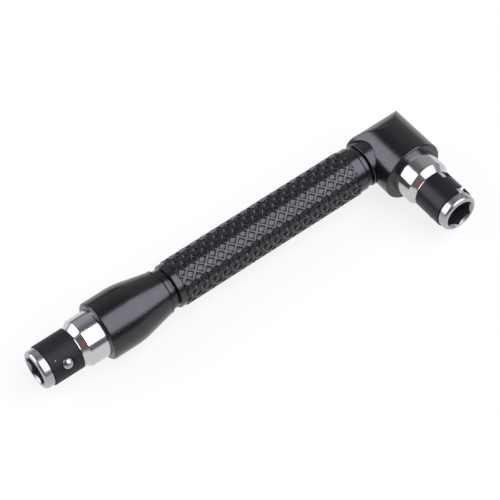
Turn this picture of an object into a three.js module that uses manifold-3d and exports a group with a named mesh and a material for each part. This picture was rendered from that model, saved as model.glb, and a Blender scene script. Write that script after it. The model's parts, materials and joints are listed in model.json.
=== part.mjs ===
import * as THREE from "three";
import { mergeVertices } from "three/addons/utils/BufferGeometryUtils.js";
import Module from "manifold-3d";

const wasm = await Module();
wasm.setup();

// Lengths are in millimetres and angles in degrees

// Hex socket, the same piece at both ends, measured inward from its mouth
const HEX_ACROSS_FLATS = 6.4;
const HEX_DEPTH = 12.5;
const MOUTH_FLARE = 0.55;
const SOCKET_WALL = 0.6;
const LIP_LENGTH = 2.3;
const LIP_HEIGHT = 0.4;
const LIP_CHAMFER = 0.6;
const TAPER_LENGTH = 1.75;
const TAPER_EDGE = 0.35;
const COLLAR_STEP = 0.8;
const COLLAR_SHOWN = 4.7;
const COLLAR_SEAT = 1.6;
const SHANK_ACROSS_FLATS = 8;
const SHANK_LENGTH = 7;

// Split spring sleeve in the socket's groove
const SLEEVE_LENGTH = 7.55;
const SLEEVE_THICKNESS = 0.6;
const SPLIT_GAP = 34;
const SPLIT_TURN = 5;
const TONGUE_REACH = 41;
const TONGUE_WIDTH = 4.4;
const TONGUE_CENTRE = 3.4;
const TONGUE_SIDE_GAP = 0.25;

// Detent ball
const BALL_RADIUS = 1.5;
const BALL_STATION = 6.15;
const BALL_PROTRUSION = 0.55;
const BALL_HOLE_EASE = 0.08;
const BALL_SEAT_EASE = 0.07;
const BALL_LIP_EASE = 0.08;
const BALL_HOLE_NARROWING = 0.16;
const STRAIGHT_BALL_ANGLE = 27;
const ANGLED_BALL_ANGLE = 236;

// Tapered ferrule
const FERRULE_WALL = 1.43;
const FERRULE_BARREL = 8.2;
const FERRULE_TAPER = 9.12;
const FERRULE_LAND = 0.72;
const FERRULE_ROUNDING = 2;
const FRONT_RIM_LENGTH = 1.2;
const FRONT_RIM_STEP = 0.52;
const REAR_RIM_LENGTH = 1.05;
const REAR_RIM_STEP = 0.32;
const FINE_LINE_WIDTH = 0.25;
const FINE_LINE_DEPTH = 0.2;
const EDGE_CHAMFER = 0.6;
const SEAT_CHAMFER = 0.15;

// Core rod, its pin and its screw
const ROD_ACROSS_FLATS = 4.5;
const SPIGOT_WALL = 1.2;
const SPIGOT_LENGTH = 10;
const PIN_RADIUS = 0.75;
const SCREW_RADIUS = 1.5;
const SCREW_HEAD_RADIUS = 2.7;
const SCREW_HEAD_HEIGHT = 2.6;
const SCREW_KEY_ACROSS_FLATS = 2.5;
const SCREW_KEY_DEPTH = 1.4;
const SCREW_REACH = 7;
const WEB_THICKNESS = 2.6;
const ROD_END_WEB = 0.6;

// Knurled grip
const GRIP_LENGTH = 54.6;
const GRIP_WALL = 1.41;
const FRONT_BAND = 1.75;
const KNURL_ROUND = 13;
const KNURL_PITCH = 2.836;
const KNURL_TURN = -7;
const KNURL_LEAD = 0.3;
const KNURL_LENGTH = 49.15;
const KNURL_RISE = 0.24;
const KNURL_DEPTH = 0.32;
const KNURL_POCKET = 0.72;
const KNURL_JOIN = 0.2;
const FRONT_GROOVE_WIDTH = 0.65;
const REAR_GROOVE_WIDTH = 0.36;
const JOINT_GROOVE_DEPTH = 1;

// Elbow head
const HEAD_WALL = 1.92;
const HEAD_OFFSET = 0.2;
const HEAD_FRONT = 9.25;
const BACK_EXTRA = 0.25;
const BACK_SHIFT = 1.92;
const NECK_SHOWN = 0.7;

// Fits and facets
const FIT = 0.1;
const WELD = 1e-4;
const OVERCUT = 1;
const ROUND_FACETS = 36;
const SMALL_FACETS = 20;
const BALL_RINGS = 12;

// Sizes that follow from the ones above
const cornerRadius = (acrossFlats) => acrossFlats / 2 / Math.cos(Math.PI / 6);
const hexFlat = HEX_ACROSS_FLATS / 2;
const grooveRadius = cornerRadius(HEX_ACROSS_FLATS) + SOCKET_WALL;
const lipRadius = grooveRadius + LIP_HEIGHT;
const sleeveInner = grooveRadius + FIT;
const sleeveOuter = sleeveInner + SLEEVE_THICKNESS;
const collarRadius = sleeveOuter + COLLAR_STEP;
const sleeveStart = LIP_LENGTH;
const sleeveEnd = sleeveStart + SLEEVE_LENGTH;
const taperStart = sleeveEnd + FIT;
const collarStart = taperStart + TAPER_LENGTH;
const socketShown = collarStart + COLLAR_SHOWN;
const collarEnd = socketShown + COLLAR_SEAT;
const shankEnd = collarEnd + SHANK_LENGTH;
const ballCentre = hexFlat - BALL_PROTRUSION + BALL_RADIUS;

const rodBore = ROD_ACROSS_FLATS + 2 * FIT;
const spigotRadius = cornerRadius(rodBore) + SPIGOT_WALL;
const gripBore = spigotRadius + FIT;
const bandRadius = gripBore + GRIP_WALL;
const grooveFloor = bandRadius - JOINT_GROOVE_DEPTH;
const frontRimRadius = bandRadius - FRONT_RIM_STEP;
const rearRimRadius = bandRadius - REAR_RIM_STEP;
const ribRadius = bandRadius + KNURL_RISE;
const knurlRows = Math.ceil((KNURL_LENGTH + KNURL_LEAD) / KNURL_PITCH);
const neckRadius = bandRadius;

const ferruleRadius = collarRadius + FERRULE_WALL;
const ferruleStart = socketShown;
const taperEnd = ferruleStart + FERRULE_BARREL + FERRULE_TAPER;
const rimEnd = taperEnd + FINE_LINE_WIDTH + FRONT_RIM_LENGTH;
const gripStart = rimEnd + FRONT_GROOVE_WIDTH;
const gripEnd = gripStart + GRIP_LENGTH;
const neckStart = gripEnd + REAR_GROOVE_WIDTH;

const headRadius = collarRadius + HEAD_WALL;
const elbowStation = neckStart + NECK_SHOWN + headRadius;
const mouthReach = HEAD_FRONT + socketShown;
const backRadius = headRadius + BACK_EXTRA;
const backReach = backRadius - BACK_SHIFT;
const overallLength = elbowStation - HEAD_OFFSET + headRadius;
const backSide = Math.max(backReach, ferruleRadius);
const restHeight = Math.max(headRadius, ferruleRadius);

const shankBore = SHANK_ACROSS_FLATS + 2 * FIT;
const shankBoreEnd = shankEnd + FIT;
const screwHeadTop = shankBoreEnd + FIT;
const screwHeadSeat = screwHeadTop + SCREW_HEAD_HEIGHT;
const webStart = screwHeadSeat + FIT;
const webEnd = webStart + WEB_THICKNESS;
const rodStart = webEnd + FIT;
const rodEnd = elbowStation - cornerRadius(shankBore) - ROD_END_WEB;
const screwEnd = rodStart + SCREW_REACH;
const pinStation = gripEnd - SPIGOT_LENGTH / 2;

const radians = THREE.MathUtils.degToRad;

const blackPaint = { color: 0x1b1b1e, roughness: 0.32, metalness: 0.1 };
const chrome = { color: 0xd6d6da, roughness: 0.1, metalness: 1 };
const darkSpring = { color: 0x37363b, roughness: 0.55, metalness: 0.5 };
const plainSteel = { color: 0x9c9da1, roughness: 0.35, metalness: 1 };

// Booleans run on welded copies that carry positions only
function solidOf(geometry) {
  const bare = geometry.clone();
  bare.deleteAttribute("normal");
  bare.deleteAttribute("uv");
  const welded = mergeVertices(bare, WELD);
  const corners = welded.index.array;
  const triVerts = [];
  for (let i = 0; i < corners.length; i += 3) {
    const [a, b, c] = [corners[i], corners[i + 1], corners[i + 2]];
    if (a !== b && b !== c && c !== a) triVerts.push(a, b, c);
  }
  const vertProperties = welded.attributes.position.array;
  return new wasm.Manifold(
    new wasm.Mesh({ numProp: 3, vertProperties, triVerts: new Uint32Array(triVerts) }),
  );
}

function geometryOf(solid) {
  const { vertProperties, triVerts } = solid.getMesh();
  const geometry = new THREE.BufferGeometry();
  geometry.setAttribute("position", new THREE.BufferAttribute(new Float32Array(vertProperties), 3));
  geometry.setIndex(new THREE.BufferAttribute(new Uint32Array(triVerts), 1));
  geometry.computeVertexNormals();
  return geometry;
}

function meshOf(name, solid, look) {
  const mesh = new THREE.Mesh(geometryOf(solid), new THREE.MeshStandardMaterial(look));
  mesh.name = name;
  return mesh;
}

// Solid turned about the Y axis from [radius, station] points that start and end on the axis
function turned(points, facets = ROUND_FACETS) {
  const outline = points.map(([radius, station]) => new THREE.Vector2(radius, station));
  return new THREE.LatheGeometry(outline, facets);
}

function turnedSolid(points, facets) {
  return solidOf(turned(points, facets));
}

// The same, but with flats instead of corners at the quarter turns, and the radii measured to the flats
function turnedOnFlats(points, facets = ROUND_FACETS) {
  const half = Math.PI / facets;
  const geometry = turned(points.map(([radius, station]) => [radius / Math.cos(half), station]), facets);
  return solidOf(geometry.rotateY(half));
}

// Round bar along Y between two stations
function bar(radius, start, end, facets) {
  return turnedSolid([[0, start], [radius, start], [radius, end], [0, end]], facets);
}

// Hexagonal bar along Y with flats facing +X and -X, turned about Y
function hexBar(acrossFlats, start, end, turn = 0) {
  const geometry = new THREE.CylinderGeometry(
    cornerRadius(acrossFlats),
    cornerRadius(acrossFlats),
    end - start,
    6,
  );
  geometry.rotateY(radians(turn));
  geometry.translate(0, (start + end) / 2, 0);
  return solidOf(geometry);
}

// Turned cutter laid along +X at a station, its second coordinates being distances from the axis
function radialCutter(points, station) {
  const geometry = turned(points, SMALL_FACETS);
  geometry.rotateZ(-Math.PI / 2);
  geometry.translate(0, station, 0);
  return solidOf(geometry);
}

// Wedge about Y between two angles, counted from +X towards +Z
function sector(fromAngle, toAngle, start, end) {
  const inner = grooveRadius / 2;
  const outer = sleeveOuter * 2;
  const corners = [
    [inner, fromAngle],
    [outer, fromAngle],
    [outer, toAngle],
    [inner, toAngle],
  ];
  const outline = corners.map(([radius, angle]) => {
    return new THREE.Vector2(radius * Math.cos(radians(angle)), radius * Math.sin(radians(angle)));
  });
  const geometry = new THREE.ExtrudeGeometry(new THREE.Shape(outline), {
    depth: end - start,
    bevelEnabled: false,
  });
  geometry.rotateX(Math.PI / 2);
  geometry.translate(0, end, 0);
  return solidOf(geometry);
}

// Section radius of the ball at a distance from the socket's axis
function ballSection(distance) {
  return Math.sqrt(Math.max(BALL_RADIUS ** 2 - (distance - ballCentre) ** 2, 0));
}

function socketSolid() {
  const body = turnedSolid([
    [0, 0],
    [lipRadius - LIP_CHAMFER, 0],
    [lipRadius, LIP_CHAMFER],
    [lipRadius, sleeveStart - FIT],
    [grooveRadius, sleeveStart - FIT],
    [grooveRadius, taperStart],
    [sleeveOuter - TAPER_EDGE, taperStart],
    [collarRadius, collarStart],
    [collarRadius, collarEnd],
    [0, collarEnd],
  ]);
  const flareRadius = hexFlat + MOUTH_FLARE;
  const flare = turnedSolid([
    [0, -OVERCUT],
    [flareRadius + OVERCUT, -OVERCUT],
    [0, flareRadius],
  ]);
  const apertureRadius = ballSection(hexFlat) + BALL_SEAT_EASE;
  const holeRadius = BALL_RADIUS + BALL_HOLE_EASE;
  const ballHole = radialCutter(
    [
      [0, hexFlat / 2],
      [apertureRadius, hexFlat / 2],
      [apertureRadius, hexFlat],
      [holeRadius, (hexFlat + ballCentre) / 2],
      [holeRadius, collarRadius],
      [0, collarRadius],
    ],
    BALL_STATION,
  );
  return body
    .add(hexBar(SHANK_ACROSS_FLATS, collarEnd - OVERCUT, shankEnd))
    .subtract(hexBar(HEX_ACROSS_FLATS, -OVERCUT, HEX_DEPTH))
    .subtract(flare)
    .subtract(ballHole);
}

function sleeveSolid() {
  const ring = turnedSolid([
    [0, sleeveStart],
    [sleeveOuter, sleeveStart],
    [sleeveOuter, sleeveEnd],
    [0, sleeveEnd],
  ]).subtract(bar(sleeveInner, sleeveStart - OVERCUT, sleeveEnd + OVERCUT));

  // The tongue starts at the near shoulder and lies in the slot between the far prongs
  const splitMiddle = 180 - SPLIT_TURN;
  const nearShoulder = splitMiddle + SPLIT_GAP / 2;
  const farProngs = splitMiddle - SPLIT_GAP / 2;
  const tongueTip = nearShoulder - TONGUE_REACH;
  const slotEnd = tongueTip - SPLIT_GAP;
  const tongueFront = sleeveStart + TONGUE_CENTRE - TONGUE_WIDTH / 2;
  const tongueBack = tongueFront + TONGUE_WIDTH;
  const slotFront = tongueFront - TONGUE_SIDE_GAP;
  const slotBack = tongueBack + TONGUE_SIDE_GAP;
  const cuts = [
    sector(farProngs, nearShoulder, sleeveStart - OVERCUT, tongueFront),
    sector(farProngs, nearShoulder, tongueBack, sleeveEnd + OVERCUT),
    sector(slotEnd, tongueTip, slotFront, slotBack),
    sector(slotEnd, farProngs + OVERCUT, slotFront, tongueFront),
    sector(slotEnd, farProngs + OVERCUT, tongueBack, slotBack),
  ];
  const holeInner = ballSection(sleeveInner) + BALL_LIP_EASE;
  const hole = radialCutter(
    [
      [0, hexFlat],
      [holeInner, hexFlat],
      [holeInner, sleeveInner],
      [holeInner - BALL_HOLE_NARROWING, sleeveOuter],
      [holeInner - BALL_HOLE_NARROWING, sleeveOuter + OVERCUT],
      [0, sleeveOuter + OVERCUT],
    ],
    BALL_STATION,
  );
  return cuts.reduce((left, cut) => left.subtract(cut), ring).subtract(hole);
}

function ballSolid() {
  const geometry = new THREE.SphereGeometry(BALL_RADIUS, SMALL_FACETS, BALL_RINGS);
  geometry.translate(ballCentre, BALL_STATION, 0);
  return solidOf(geometry);
}

// One bit holder: the socket, its spring sleeve and its ball, with the ball towards +X
function bitHolder(prefix, ballAngle) {
  const holder = new THREE.Group();
  holder.rotation.y = radians(-ballAngle);
  holder.add(meshOf(prefix + "_socket", socketSolid(), chrome));
  holder.add(meshOf(prefix + "_spring_sleeve", sleeveSolid(), darkSpring));
  holder.add(meshOf(prefix + "_detent_ball", ballSolid(), plainSteel));
  return holder;
}

// Clearance for a socket seated at a station, its collar and its hexagonal shank
function socketSeat(ballAngle) {
  return bar(collarRadius + FIT, socketShown - OVERCUT, collarEnd + FIT)
    .add(hexBar(shankBore, collarEnd, shankBoreEnd, -ballAngle))
    .add(turnedSolid([
      [0, socketShown - OVERCUT],
      [collarRadius + FIT + SEAT_CHAMFER + OVERCUT, socketShown - OVERCUT],
      [collarRadius + FIT, socketShown + SEAT_CHAMFER],
      [0, socketShown + SEAT_CHAMFER],
    ]));
}

function ferruleSolid() {
  // The barrel rolls over into the taper along a short arc of points
  const barrelEnd = ferruleStart + FERRULE_BARREL;
  const slope = (ferruleRadius - bandRadius) / (FERRULE_TAPER - FERRULE_LAND);
  const rounding = [0, 0.25, 0.5, 0.75, 1].map((share) => {
    const station = barrelEnd + (share * 2 - 1) * FERRULE_ROUNDING;
    return [ferruleRadius - slope * FERRULE_ROUNDING * share * share, station];
  });
  const body = turnedOnFlats([
    [0, ferruleStart],
    [ferruleRadius - EDGE_CHAMFER, ferruleStart],
    [ferruleRadius, ferruleStart + EDGE_CHAMFER],
    ...rounding,
    [bandRadius, taperEnd - FERRULE_LAND],
    [bandRadius, taperEnd],
    [frontRimRadius - FINE_LINE_DEPTH, taperEnd + FINE_LINE_WIDTH / 2],
    [frontRimRadius, taperEnd + FINE_LINE_WIDTH],
    [frontRimRadius, rimEnd],
    [grooveFloor, rimEnd],
    [grooveFloor, gripStart - FIT],
    [spigotRadius, gripStart - FIT],
    [spigotRadius, gripStart + SPIGOT_LENGTH],
    [0, gripStart + SPIGOT_LENGTH],
  ]);
  return body
    .subtract(socketSeat(STRAIGHT_BALL_ANGLE))
    .subtract(bar(SCREW_HEAD_RADIUS + FIT, collarEnd, webStart, SMALL_FACETS))
    .subtract(bar(SCREW_RADIUS + FIT, webStart - OVERCUT, rodStart, SMALL_FACETS))
    .subtract(hexBar(rodBore, webEnd, gripStart + SPIGOT_LENGTH + OVERCUT));
}

// Lattice of ridges round Y: crossings on every half row, one flat-floored pocket in each diamond
function knurledBar(start) {
  const positions = [];
  const step = KNURL_PITCH / 2;
  const lastRow = knurlRows * 2;
  const pitch = 360 / KNURL_ROUND;
  const point = (radius, row, turn) => {
    const angle = radians(turn * pitch + KNURL_TURN);
    return [radius * Math.sin(angle), start + row * step, radius * Math.cos(angle)];
  };
  const triangle = (a, b, c) => positions.push(...a, ...b, ...c);

  for (let row = 1; row < lastRow; row += 1) {
    for (let place = 0; place < KNURL_ROUND; place += 1) {
      const centre = place + 0.5 + (row % 2) / 2;
      const ring = (radius, size) => [
        point(radius, row, centre - size / 2),
        point(radius, row - size, centre),
        point(radius, row, centre + size / 2),
        point(radius, row + size, centre),
      ];
      const ridge = ring(ribRadius, 1);
      const floor = ring(ribRadius - KNURL_DEPTH, KNURL_POCKET);
      for (let side = 0; side < 4; side += 1) {
        const next = (side + 1) % 4;
        triangle(ridge[side], ridge[next], floor[next]);
        triangle(ridge[side], floor[next], floor[side]);
      }
      triangle(floor[0], floor[1], floor[3]);
      triangle(floor[1], floor[2], floor[3]);
    }
  }

  // Each end closes with half diamonds and a flat face
  for (let place = 0; place < KNURL_ROUND; place += 1) {
    for (const half of [0, 0.5]) {
      const [left, right] = [place + half, place + half + 0.5];
      const tip = place + 0.5;
      triangle(point(ribRadius, 0, left), point(ribRadius, 0, right), point(ribRadius, 1, tip));
      triangle(point(0, 0, 0), point(ribRadius, 0, right), point(ribRadius, 0, left));
      triangle(
        point(ribRadius, lastRow, right),
        point(ribRadius, lastRow, left),
        point(ribRadius, lastRow - 1, tip),
      );
      triangle(point(0, lastRow, 0), point(ribRadius, lastRow, left), point(ribRadius, lastRow, right));
    }
  }
  const geometry = new THREE.BufferGeometry();
  geometry.setAttribute("position", new THREE.Float32BufferAttribute(positions, 3));
  return solidOf(geometry);
}

function gripSolid() {
  const knurlStart = gripStart + FRONT_BAND;
  const knurlEnd = knurlStart + KNURL_LENGTH;
  const rimStart = gripEnd - REAR_RIM_LENGTH;
  const rearBand = turnedSolid([
    [0, knurlEnd - KNURL_JOIN],
    [bandRadius, knurlEnd - KNURL_JOIN],
    [bandRadius, rimStart - FINE_LINE_WIDTH],
    [rearRimRadius - FINE_LINE_DEPTH, rimStart - FINE_LINE_WIDTH / 2],
    [rearRimRadius, rimStart],
    [rearRimRadius, gripEnd],
    [0, gripEnd],
  ]);
  const boreEnd = SPIGOT_LENGTH + FIT;
  return knurledBar(knurlStart - KNURL_LEAD)
    .intersect(bar(ribRadius + OVERCUT, knurlStart, knurlEnd))
    .add(bar(bandRadius, gripStart, knurlStart + KNURL_JOIN))
    .add(rearBand)
    .subtract(bar(gripBore, gripStart - OVERCUT, gripStart + boreEnd))
    .subtract(bar(gripBore, gripEnd - boreEnd, gripEnd + OVERCUT))
    .subtract(hexBar(rodBore, gripStart, gripEnd));
}

function rodSolid() {
  return hexBar(ROD_ACROSS_FLATS, rodStart, rodEnd)
    .subtract(bar(SCREW_RADIUS + FIT, rodStart - OVERCUT, screwEnd + OVERCUT, SMALL_FACETS))
    .subtract(crossBar(PIN_RADIUS + FIT, spigotRadius));
}

// Round bar across the handle along Z at the pin's station
function crossBar(radius, halfLength) {
  const geometry = turned(
    [[0, -halfLength], [radius, -halfLength], [radius, halfLength], [0, halfLength]],
    SMALL_FACETS,
  );
  geometry.rotateX(Math.PI / 2);
  geometry.translate(0, pinStation, 0);
  return solidOf(geometry);
}

function screwSolid() {
  return turnedSolid(
    [
      [0, screwHeadTop],
      [SCREW_HEAD_RADIUS, screwHeadTop],
      [SCREW_HEAD_RADIUS, screwHeadSeat],
      [SCREW_RADIUS, screwHeadSeat],
      [SCREW_RADIUS, screwEnd],
      [0, screwEnd],
    ],
    SMALL_FACETS,
  ).subtract(
    hexBar(SCREW_KEY_ACROSS_FLATS, screwHeadTop - OVERCUT, screwHeadTop + SCREW_KEY_DEPTH),
  );
}

// Head of the elbow about its own socket's axis, with the mouth's side towards -Y
function headBarrel() {
  const barrel = turnedOnFlats([
    [0, -HEAD_FRONT],
    [headRadius - EDGE_CHAMFER, -HEAD_FRONT],
    [headRadius, EDGE_CHAMFER - HEAD_FRONT],
    [headRadius, backReach + OVERCUT],
    [0, backReach + OVERCUT],
  ]);
  const back = new THREE.CylinderGeometry(backRadius, backRadius, backRadius * 3, ROUND_FACETS);
  back.rotateZ(Math.PI / 2);
  back.translate(0, -BACK_SHIFT, 0);
  const frontDepth = HEAD_FRONT + OVERCUT - BACK_SHIFT;
  const front = new THREE.BoxGeometry(backRadius * 3, frontDepth, backRadius * 3);
  front.translate(0, -BACK_SHIFT - frontDepth / 2, 0);
  return barrel.intersect(solidOf(back).add(solidOf(front)));
}

// Neck and spigot of the elbow about the handle's axis
function neckBar() {
  return turnedSolid([
    [0, gripEnd - SPIGOT_LENGTH],
    [spigotRadius, gripEnd - SPIGOT_LENGTH],
    [spigotRadius, gripEnd + FIT],
    [grooveFloor, gripEnd + FIT],
    [grooveFloor, neckStart],
    [neckRadius, neckStart],
    [neckRadius, elbowStation - headRadius / 2],
    [0, elbowStation - headRadius / 2],
  ]);
}

// Along the handle the turned pieces lie on X, and the elbow's socket lies on Y
function laidAlongHandle(solid) {
  return solidOf(geometryOf(solid).rotateZ(-Math.PI / 2));
}

function movedToElbow(solid, distance, offset = 0) {
  return solidOf(geometryOf(solid).translate(elbowStation + offset, distance, 0));
}

function elbowSolid() {
  const rodSpace = hexBar(rodBore, gripEnd - SPIGOT_LENGTH - OVERCUT, rodEnd + FIT);
  return movedToElbow(headBarrel(), 0, -HEAD_OFFSET)
    .add(laidAlongHandle(neckBar()))
    .subtract(movedToElbow(socketSeat(ANGLED_BALL_ANGLE), -mouthReach))
    .subtract(laidAlongHandle(rodSpace))
    .subtract(laidAlongHandle(crossBar(PIN_RADIUS + FIT, spigotRadius)));
}

// Pieces on the handle's axis are made along Y and laid along X together
const handle = new THREE.Group();
handle.rotation.z = -Math.PI / 2;
handle.add(bitHolder("straight", STRAIGHT_BALL_ANGLE));
handle.add(meshOf("nose_ferrule", ferruleSolid(), blackPaint));
handle.add(meshOf("knurled_grip", gripSolid(), blackPaint));
handle.add(meshOf("core_rod", rodSolid(), plainSteel));
handle.add(meshOf("rod_pin", crossBar(PIN_RADIUS, spigotRadius - FIT), plainSteel));
handle.add(meshOf("ferrule_screw", screwSolid(), plainSteel));

const angledEnd = new THREE.Group();
angledEnd.position.set(elbowStation, -mouthReach, 0);
angledEnd.add(bitHolder("angled", ANGLED_BALL_ANGLE));

// The origin lies under the middle of the whole tool, on the surface that it rests on
const driver = new THREE.Group();
driver.name = "l_shaped_bit_driver";
driver.position.set(-overallLength / 2, (mouthReach - backSide) / 2, restHeight);
driver.add(handle);
driver.add(angledEnd);
driver.add(meshOf("elbow_head", elbowSolid(), blackPaint));

const part = new THREE.Group();
part.add(driver);
export default part;
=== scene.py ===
import bpy
import bmesh
import json
import math
from mathutils import Matrix, Vector


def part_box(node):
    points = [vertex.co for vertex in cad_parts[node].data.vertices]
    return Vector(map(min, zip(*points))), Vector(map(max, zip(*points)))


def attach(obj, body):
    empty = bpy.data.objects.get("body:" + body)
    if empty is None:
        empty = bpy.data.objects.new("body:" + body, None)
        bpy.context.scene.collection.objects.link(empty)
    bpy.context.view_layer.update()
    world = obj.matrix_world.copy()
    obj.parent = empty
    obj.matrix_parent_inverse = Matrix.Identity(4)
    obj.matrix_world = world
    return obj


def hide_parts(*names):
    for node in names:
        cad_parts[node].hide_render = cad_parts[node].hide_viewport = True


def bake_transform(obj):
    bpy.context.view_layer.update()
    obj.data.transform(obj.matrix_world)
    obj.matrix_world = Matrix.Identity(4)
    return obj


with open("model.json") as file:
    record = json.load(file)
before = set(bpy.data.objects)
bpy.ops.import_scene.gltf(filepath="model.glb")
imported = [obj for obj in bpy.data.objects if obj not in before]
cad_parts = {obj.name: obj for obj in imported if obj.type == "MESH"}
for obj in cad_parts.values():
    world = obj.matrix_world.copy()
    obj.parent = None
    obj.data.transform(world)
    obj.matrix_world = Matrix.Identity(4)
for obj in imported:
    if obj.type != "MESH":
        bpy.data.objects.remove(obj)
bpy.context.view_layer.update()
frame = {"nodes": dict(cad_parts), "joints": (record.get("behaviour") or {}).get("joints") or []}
scene = bpy.context.scene
mm = 0.001  # sizes below are millimetres, Blender works in metres

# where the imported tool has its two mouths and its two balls
straightLow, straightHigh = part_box("straight_socket")
angledLow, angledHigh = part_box("angled_socket")
handleMid = (straightLow + straightHigh) / 2
angledMid = (angledLow + angledHigh) / 2
straightMouth = Vector((straightLow.x, handleMid.y, handleMid.z))
angledMouth = Vector((angledMid.x, angledLow.y, angledMid.z))
ballWay = {joint["child"]: Vector(joint["axis"]).normalized() for joint in frame["joints"]}
alongHandle = Vector((1, 0, 0))
alongHead = Vector((0, 1, 0))
towardsFront = Vector((0, -1, 0))
hexCorner = 1 / math.cos(math.pi / 6)
past = 1.0  # how far a cutter starts outside the face that it goes through
lap = 0.5  # how far one bar of a stepped cut reaches into the one before it
hold = 0.05  # distance of the extra points that keep the shading of a flat stretch straight
print("frame loaded:", len(frame["nodes"]), "nodes")


# camera and light, set to the photograph

photoCamera = {
    "right": (0.796993, -0.601506, -0.05471),
    "down": (-0.506925, -0.616915, -0.602033),
    "forward": (0.328375, 0.50755, -0.796595),
    "place": (-160.462, -246.573, 403.943),
    "lens": 158.82,
}


def setCamera(view):
    eye = bpy.data.cameras.new("photoCamera")
    eye.sensor_width = 36
    eye.lens = view["lens"]
    eye.clip_start = 0.01
    holder = bpy.data.objects.new("photoCamera", eye)
    scene.collection.objects.link(holder)
    turn = Matrix((view["right"], -Vector(view["down"]), -Vector(view["forward"]))).transposed()
    holder.matrix_world = Matrix.Translation(Vector(view["place"]) * mm) @ turn.to_4x4()
    scene.camera = holder


softboxes = {
    "frontBox": {"aim": (0.37, -0.491, 0.786), "across": (-0.948, -0.159, 0.274), "wide": 1.2, "tall": 1.32,
                 "glow": 3.9, "colour": (0.95, 0.94, 1.1), "edge": 0.09},
    "sideBox": {"aim": (-0.665, 0.607, 0.434), "across": (0.333, 0.756, -0.564), "wide": 1.0, "tall": 1.09,
                "glow": 3.9, "colour": (0.95, 0.94, 1.1), "edge": 0.15},
}


def hangSoftbox(name, box, distance=1.0):
    lamp = bpy.data.lights.new(name, "AREA")
    lamp.shape = "RECTANGLE"
    lamp.size = box["wide"]
    lamp.size_y = box["tall"]
    lamp.color = box["colour"]
    lamp.energy = box["glow"] * math.pi * box["wide"] * box["tall"]  # radiance in the middle of the panel
    lamp.use_nodes = True
    nodes, links = lamp.node_tree.nodes, lamp.node_tree.links
    cloth = nodes["Emission"]
    spot = nodes.new("ShaderNodeNewGeometry")
    split = nodes.new("ShaderNodeSeparateXYZ")
    links.new(spot.outputs["Parametric"], split.inputs[0])
    fades = []
    for side in (0, 1):
        # brightness falls off towards the panel's two edges on this side
        middle = nodes.new("ShaderNodeMath")
        middle.operation = "PINGPONG"
        middle.inputs[1].default_value = 0.5
        links.new(split.outputs[side], middle.inputs[0])
        fade = nodes.new("ShaderNodeMapRange")
        fade.interpolation_type = "SMOOTHSTEP"
        fade.inputs["From Max"].default_value = box["edge"]
        links.new(middle.outputs[0], fade.inputs["Value"])
        fades.append(fade)
    both = nodes.new("ShaderNodeMath")
    both.operation = "MULTIPLY"
    links.new(fades[0].outputs[0], both.inputs[0])
    links.new(fades[1].outputs[0], both.inputs[1])
    links.new(both.outputs[0], cloth.inputs["Strength"])
    holder = bpy.data.objects.new(name, lamp)
    scene.collection.objects.link(holder)
    away = Vector(box["aim"]).normalized()
    across = Vector(box["across"])
    across = (across - across.dot(away) * away).normalized()
    turn = Matrix((across, away.cross(across), away)).transposed().to_4x4()
    holder.matrix_world = Matrix.Translation(away * distance) @ turn


studio = {
    "wall": (0.165, 0.16, 0.165),
    "backWall": (0.5, 0.485, 0.5), "backSide": (0.563, 0.767, 0.307), "backFade": (0.58, 0.96),
    "warm": (0.3, 0.17, 0.16), "warmSide": (-0.73, -0.53, 0.44), "warmFade": (0.9, 0.985),
    "rightWall": (0.42, 0.41, 0.43), "rightSide": (0.87, -0.33, 0.37), "rightFade": (0.8, 0.97),
    "gap": (0.0, 0.0, 0.0), "gapSide": (0.328, 0.937, 0.122), "gapFade": (0.991, 0.998),
    "floorSize": 4.0, "floorColour": 0.8, "floorGlow": 0.82, "farFloor": 0.35,
    "frontWay": (-0.54, -0.84, 0.0), "farFade": (0.058, 0.18),
}


def setRoom(values):
    world = bpy.data.worlds.new("studioRoom")
    world.use_nodes = True
    nodes, links = world.node_tree.nodes, world.node_tree.links
    room = nodes["Background"]
    room.inputs["Strength"].default_value = 1.0
    look = nodes.new("ShaderNodeTexCoord")
    tone = None
    for side, fade, colour in (("backSide", "backFade", "backWall"), ("rightSide", "rightFade", "rightWall"),
                               ("warmSide", "warmFade", "warm"), ("gapSide", "gapFade", "gap")):
        towards = nodes.new("ShaderNodeVectorMath")
        towards.operation = "DOT_PRODUCT"
        towards.inputs[1].default_value = Vector(values[side]).normalized()
        links.new(look.outputs["Generated"], towards.inputs[0])
        reach = nodes.new("ShaderNodeMapRange")
        reach.interpolation_type = "SMOOTHSTEP"
        reach.inputs["From Min"].default_value, reach.inputs["From Max"].default_value = values[fade]
        links.new(towards.outputs["Value"], reach.inputs["Value"])
        mix = nodes.new("ShaderNodeMix")
        mix.data_type = "RGBA"
        mix.inputs["A"].default_value = (*values["wall"], 1)
        mix.inputs["B"].default_value = (*values[colour], 1)
        links.new(reach.outputs[0], mix.inputs["Factor"])
        if tone:
            links.new(tone.outputs["Result"], mix.inputs["A"])
        tone = mix
    links.new(tone.outputs["Result"], room.inputs["Color"])
    scene.world = world


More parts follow.
